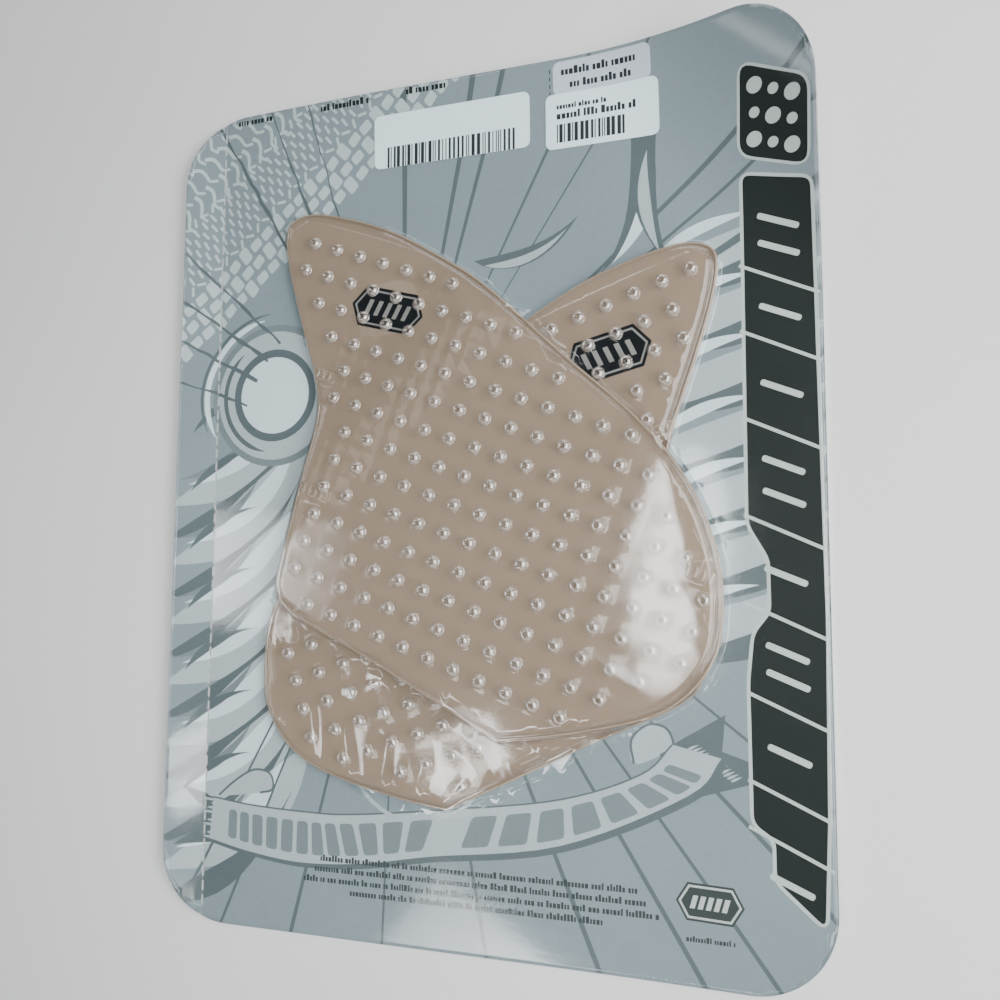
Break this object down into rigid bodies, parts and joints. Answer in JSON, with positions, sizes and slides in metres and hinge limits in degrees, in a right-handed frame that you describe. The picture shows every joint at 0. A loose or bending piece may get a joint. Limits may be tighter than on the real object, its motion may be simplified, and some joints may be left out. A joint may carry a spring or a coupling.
{
  "type": "carded pair of traction pads",
  "caption": "Two mirrored, nubbed, self-adhesive traction pads lie crossed on a printed backing card under clear film, with stickers and a tear-off strip down the left side.",
  "frame": {"origin": "middle of the whole card, on its flat back face", "axes": "+X across the card to the right as its front is read, +Y up the card, +Z out of the printed front; the card lies on its back"},
  "size_m": [0.2379, 0.305, 0.018],
  "materials": {
    "card_front_print": "satin",
    "film": "gloss",
    "tinted_label": "matte",
    "white_label": "matte",
    "pad": "gloss",
    "adhesive": "satin",
    "liner": "matte",
    "badge": "gloss"
  },
  "bodies": {
    "panel": {"card_panel": "card_front_print", "skin_film": "film", "model_label": "tinted_label", "barcode_label": "white_label", "part_label": "white_label", "front_pad": "pad", "front_pad_adhesive": "adhesive", "front_pad_liner": "liner", "front_pad_badge": "badge", "rear_pad": "pad", "rear_pad_adhesive": "adhesive", "rear_pad_liner": "liner", "rear_pad_badge": "badge"},
    "strip": {"tear_strip": "card_front_print", "strip_film": "film"}
  },
  "joints": [
    {"name": "perforation_fold", "type": "hinge", "parent": "panel", "child": "strip", "pos_m": [-0.1028, 0, 0.00072], "axis": [0, 1, 0], "range_deg": [-10, 150]}
  ]
}
